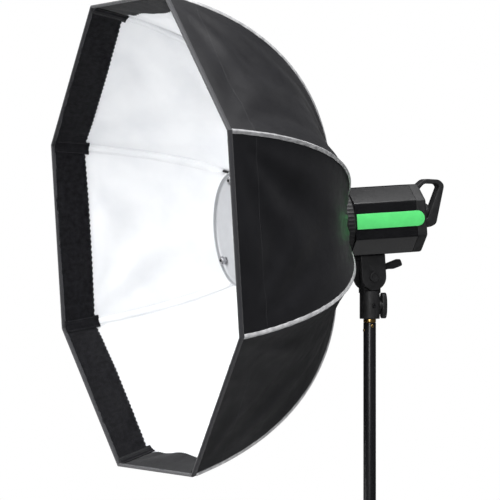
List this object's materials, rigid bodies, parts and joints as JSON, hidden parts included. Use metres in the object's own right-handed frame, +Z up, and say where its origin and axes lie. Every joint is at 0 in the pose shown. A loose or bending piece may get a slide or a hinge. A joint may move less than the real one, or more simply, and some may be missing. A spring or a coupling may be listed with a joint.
{
  "type": "studio softbox",
  "caption": "Eight-sided folding studio softbox with a deflector dish, on a monolight flash head with a tilting swivel bracket and the light stand's top riser.",
  "frame": {"origin": "centre of the riser's flat foot face", "axes": "+Z up along the riser; the light shines towards -Y, tilted 3.63 degrees downwards at rest; +X is the side of the camera-side trim"},
  "size_m": [0.8, 0.5959, 1.0114],
  "materials": {
    "black_alloy": "fine matt black powder coat",
    "black_plastic": "fine grained moulding",
    "gloss_casing": "satin gloss black",
    "brass": "turned, light polish",
    "steel": "drawn wire",
    "aluminium": "machined",
    "green_trim": "satin green moulding",
    "black_nylon": "tight woven nylon, slight sheen",
    "white_lining": "white reflective lining cloth",
    "white_enamel": "white stove enamel",
    "frosted_glass": "frosted",
    "white_ceramic": "unglazed heat-proof insulator",
    "circuit_board": "lacquered laminate",
    "display": "dark polished window"
  },
  "bodies": {
    "stand": {"riser_tube": "black_alloy", "riser_foot_plug": "black_plastic", "brass_spigot": "brass", "rivet_side": "brass", "rivet_front": "brass"},
    "swivel": {"swivel_socket": "black_alloy", "socket_set_screw": "black_alloy"},
    "lock_knob": {"paddle_knob": "black_plastic"},
    "head": {"tilt_yoke": "black_alloy", "tilt_bolt": "black_alloy", "head_housing": "gloss_casing", "head_flange": "aluminium", "rear_cap": "black_plastic", "carry_handle": "black_plastic", "trim_right": "green_trim", "trim_left": "green_trim", "display_window": "display", "power_inlet": "black_plastic", "lamp_base": "white_ceramic", "flash_tube": "frosted_glass", "modelling_lamp": "frosted_glass", "glass_dome": "frosted_glass", "circuit_board": "circuit_board", "flash_capacitor": "aluminium"},
    "lever": {"tilt_lever": "black_plastic"},
    "dial": {"control_dial": "black_plastic"},
    "button_1": {"push_button_1": "black_plastic"},
    "button_2": {"push_button_2": "black_plastic"},
    "button_3": {"push_button_3": "black_plastic"},
    "rocker": {"rocker_switch": "black_plastic"},
    "release": {"release_slide": "black_plastic"},
    "fan": {"fan_wheel": "black_plastic"},
    "softbox": {"speed_ring": "black_alloy", "folding_hub": "black_plastic", "hinge_wire": "steel", "cloth_collar": "black_nylon", "deflector_dish": "white_enamel", "deflector_post_1": "steel", "deflector_post_2": "steel", "deflector_post_3": "steel"},
    "panel_1": {"rib_1": "steel", "gore_1": "black_nylon"},
    "panel_2": {"rib_2": "steel", "gore_2": "black_nylon"},
    "panel_3": {"rib_3": "steel", "gore_3": "black_nylon"},
    "panel_4": {"rib_4": "steel", "gore_4": "black_nylon"},
    "panel_5": {"rib_5": "steel", "gore_5": "black_nylon"},
    "panel_6": {"rib_6": "steel", "gore_6": "black_nylon"},
    "panel_7": {"rib_7": "steel", "gore_7": "black_nylon"},
    "panel_8": {"rib_8": "steel", "gore_8": "black_nylon"},
    "nut_1": {"deflector_nut_1": "aluminium"},
    "nut_2": {"deflector_nut_2": "aluminium"},
    "nut_3": {"deflector_nut_3": "aluminium"}
  },
  "joints": [
    {"name": "pan", "type": "hinge", "parent": "stand", "child": "swivel", "pos_m": [0, 0, 0.4916], "axis": [0, 0, 1], "continuous": true},
    {"name": "knob_turn", "type": "hinge", "parent": "swivel", "child": "lock_knob", "pos_m": [0, 0, 0.4916], "axis": [0, 1, 0], "continuous": true},
    {"name": "tilt", "type": "hinge", "parent": "swivel", "child": "head", "pos_m": [0, 0, 0.5417], "axis": [1, 0, 0], "range_deg": [-65, 33]},
    {"name": "lever_turn", "type": "hinge", "parent": "head", "child": "lever", "pos_m": [0, 0, 0.5417], "axis": [1, 0, 0], "range_deg": [-100, 0]},
    {"name": "dial_turn", "type": "hinge", "parent": "head", "child": "dial", "pos_m": [0.033, 0.08268, 0.65677], "axis": [0, 0.998, 0.0633], "continuous": true},
    {"name": "rocker_press", "type": "hinge", "parent": "head", "child": "rocker", "pos_m": [0.033, 0.08222, 0.61666], "axis": [0, 0.0633, -0.998], "range_deg": [0, 12]},
    {"name": "release_push", "type": "slide", "parent": "head", "child": "release", "axis": [0, 0.998, 0.0633], "range_m": [0, 0.005], "stiffness_N_per_m": 300, "springref_m": -0.001},
    {"name": "fan_spin", "type": "hinge", "parent": "head", "child": "fan", "pos_m": [0, 0.04971, 0.64265], "axis": [0, -0.998, -0.0633], "continuous": true},
    {"name": "ring_turn", "type": "hinge", "parent": "head", "child": "softbox", "pos_m": [0, -0.05608, 0.63594], "axis": [0, -0.998, -0.0633], "continuous": true},
    {"name": "button_push_1", "type": "slide", "parent": "head", "child": "button_1", "axis": [0, -0.998, -0.0633], "range_m": [0, 0.0012], "stiffness_N_per_m": 600, "springref_m": -0.0005},
    {"name": "button_push_2", "type": "slide", "parent": "head", "child": "button_2", "axis": [0, -0.998, -0.0633], "range_m": [0, 0.0012], "stiffness_N_per_m": 600, "springref_m": -0.0005},
    {"name": "button_push_3", "type": "slide", "parent": "head", "child": "button_3", "axis": [0, -0.998, -0.0633], "range_m": [0, 0.0012], "stiffness_N_per_m": 600, "springref_m": -0.0005},
    {"name": "fold_1", "type": "hinge", "parent": "softbox", "child": "panel_1", "pos_m": [0.06047, -0.08907, 0.65895], "axis": [0.3827, 0.0585, -0.922], "range_deg": [0, 49], "deforming": ["gore_1"]},
    {"name": "fold_2", "type": "hinge", "parent": "softbox", "child": "panel_2", "pos_m": [0.02505, -0.09131, 0.6943], "axis": [0.9239, 0.0242, -0.3819], "range_deg": [0, 49], "deforming": ["gore_2"]},
    {"name": "fold_3", "type": "hinge", "parent": "softbox", "child": "panel_3", "pos_m": [-0.02505, -0.09131, 0.6943], "axis": [0.9239, -0.0242, 0.3819], "range_deg": [0, 49], "deforming": ["gore_3"]},
    {"name": "fold_4", "type": "hinge", "parent": "softbox", "child": "panel_4", "pos_m": [-0.06047, -0.08907, 0.65895], "axis": [0.3827, -0.0585, 0.922], "range_deg": [0, 49], "deforming": ["gore_4"]},
    {"name": "fold_5", "type": "hinge", "parent": "softbox", "child": "panel_5", "pos_m": [-0.06047, -0.0859, 0.60895], "axis": [-0.3827, -0.0585, 0.922], "range_deg": [0, 49], "deforming": ["gore_5"]},
    {"name": "fold_6", "type": "hinge", "parent": "softbox", "child": "panel_6", "pos_m": [-0.02505, -0.08365, 0.57359], "axis": [-0.9239, -0.0242, 0.3819], "range_deg": [0, 49], "deforming": ["gore_6"]},
    {"name": "fold_7", "type": "hinge", "parent": "softbox", "child": "panel_7", "pos_m": [0.02505, -0.08365, 0.57359], "axis": [-0.9239, 0.0242, -0.3819], "range_deg": [0, 49], "deforming": ["gore_7"]},
    {"name": "fold_8", "type": "hinge", "parent": "softbox", "child": "panel_8", "pos_m": [0.06047, -0.0859, 0.60895], "axis": [-0.3827, 0.0585, -0.922], "range_deg": [0, 49], "deforming": ["gore_8"]},
    {"name": "nut_turn_1", "type": "hinge", "parent": "softbox", "child": "nut_1", "pos_m": [-0.06606, -0.24461, 0.57038], "axis": [0, -0.998, -0.0633], "continuous": true},
    {"name": "nut_turn_2", "type": "hinge", "parent": "softbox", "child": "nut_2", "pos_m": [0.07935, -0.24607, 0.59336], "axis": [0, -0.998, -0.0633], "continuous": true},
    {"name": "nut_turn_3", "type": "hinge", "parent": "softbox", "child": "nut_3", "pos_m": [-0.0133, -0.25331, 0.70755], "axis": [0, -0.998, -0.0633], "continuous": true}
  ],
  "couplings": [
    {"joint": "fold_2", "follows": "fold_1", "ratio": 1},
    {"joint": "fold_3", "follows": "fold_1", "ratio": 1},
    {"joint": "fold_4", "follows": "fold_1", "ratio": 1},
    {"joint": "fold_5", "follows": "fold_1", "ratio": 1},
    {"joint": "fold_6", "follows": "fold_1", "ratio": 1},
    {"joint": "fold_7", "follows": "fold_1", "ratio": 1},
    {"joint": "fold_8", "follows": "fold_1", "ratio": 1}
  ]
}
